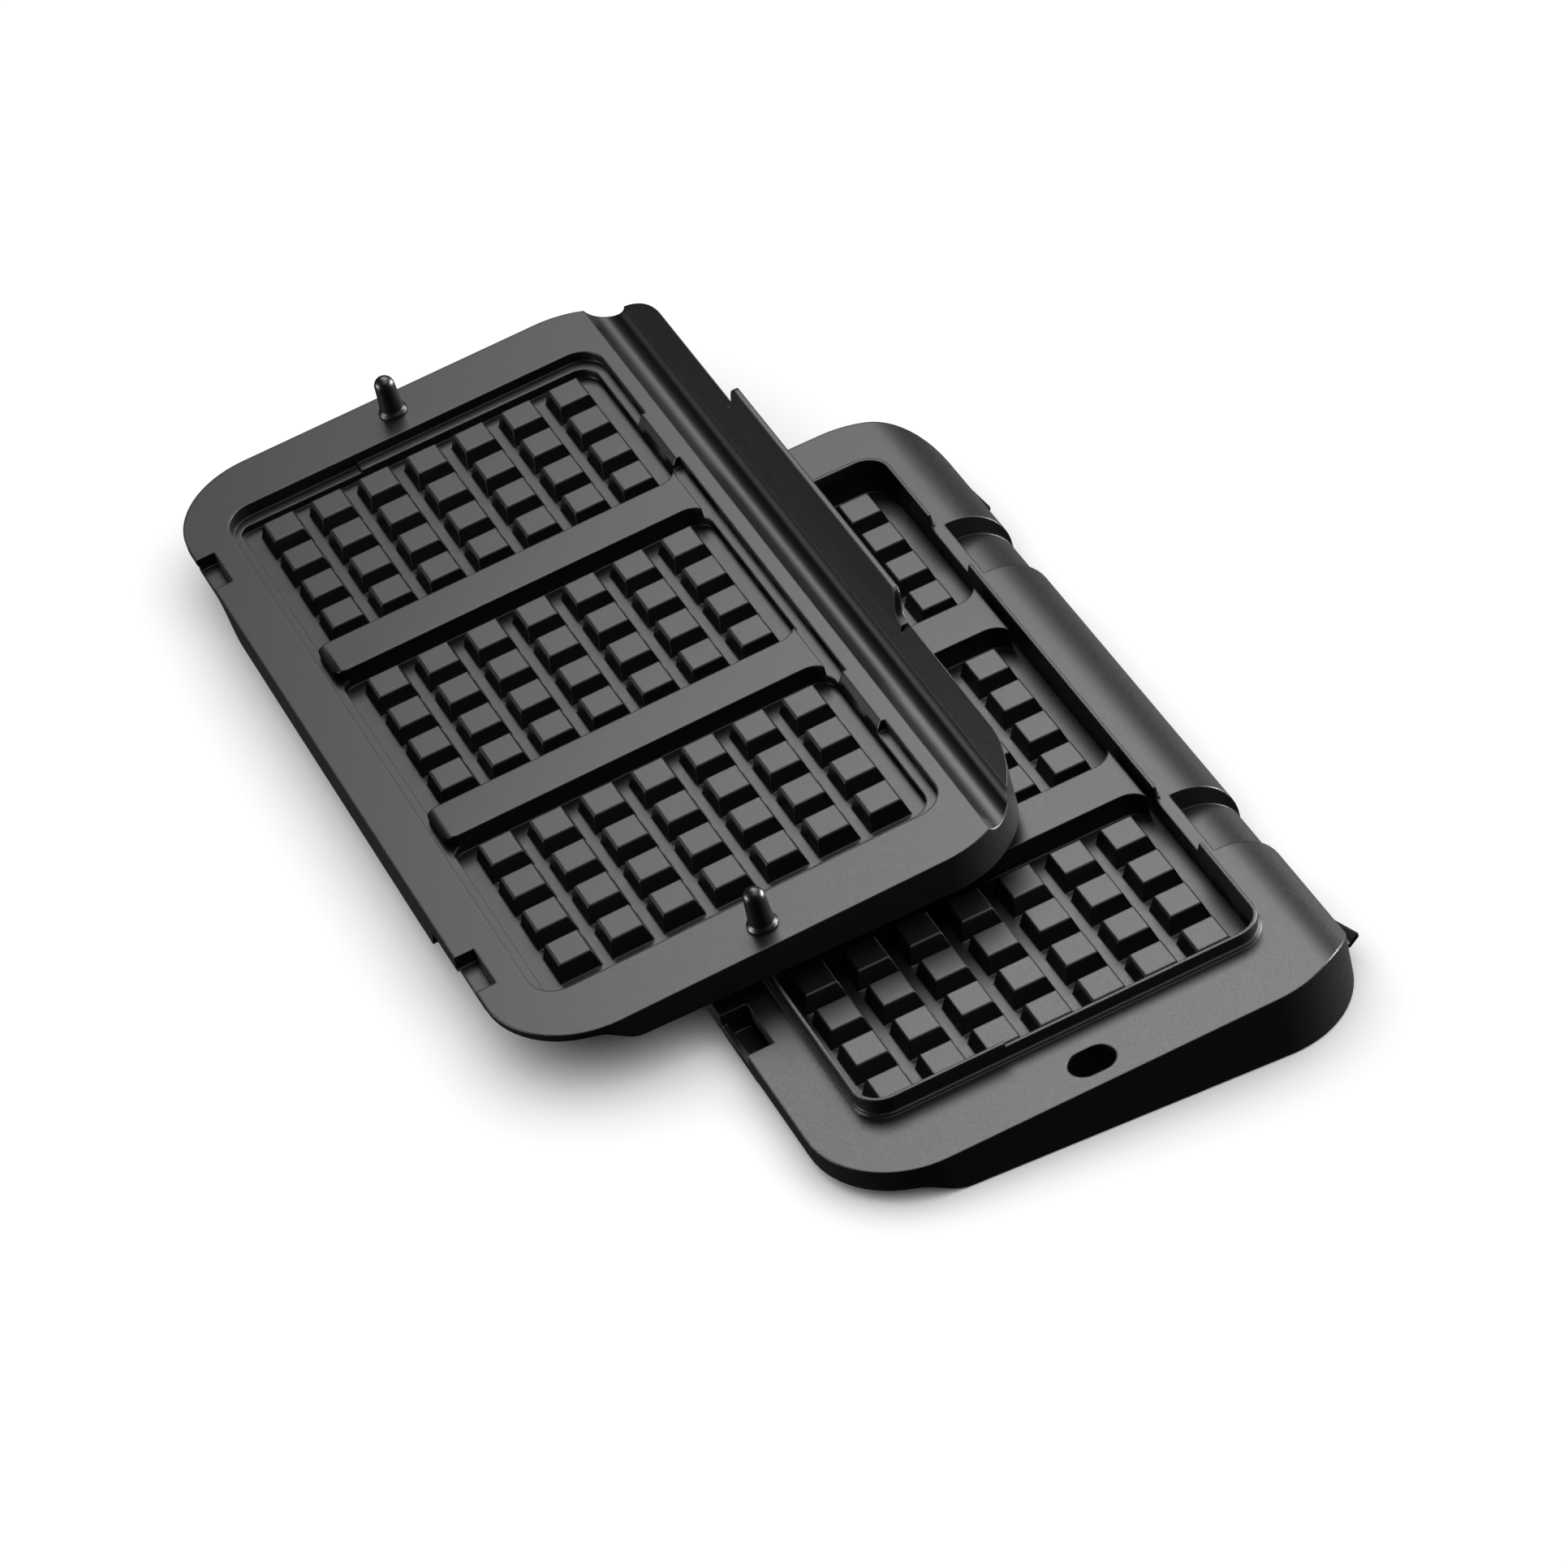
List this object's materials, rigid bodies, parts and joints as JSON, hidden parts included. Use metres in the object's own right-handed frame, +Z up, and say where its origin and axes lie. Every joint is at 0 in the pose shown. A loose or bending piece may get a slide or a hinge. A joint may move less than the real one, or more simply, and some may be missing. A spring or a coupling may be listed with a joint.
{
  "type": "waffle plate pair",
  "caption": "Pair of removable cast non-stick waffle plates for a hinged contact grill, upper plate with locating pins resting across the lower plate with seal lip",
  "frame": {"origin": "on the table under the middle of the pair's bounding box", "axes": "+X along the plates, to the right seen from the front; +Y from front to rear; +Z up, out of the cooking faces"},
  "size_m": [0.3958, 0.229, 0.0567],
  "materials": {
    "nonstick_coating": "matte",
    "pin_finish": "satin",
    "hook_steel": "satin"
  },
  "bodies": {
    "lower": {"lower_plate": "nonstick_coating", "lower_hook_left": "hook_steel", "lower_hook_right": "hook_steel"},
    "upper": {"upper_plate": "nonstick_coating", "upper_pin_left": "pin_finish", "upper_pin_right": "pin_finish"}
  },
  "joints": [
    {"name": "upper_lift", "type": "slide", "parent": "lower", "child": "upper", "axis": [0, 0, 1], "range_m": [0, 0.12]}
  ]
}
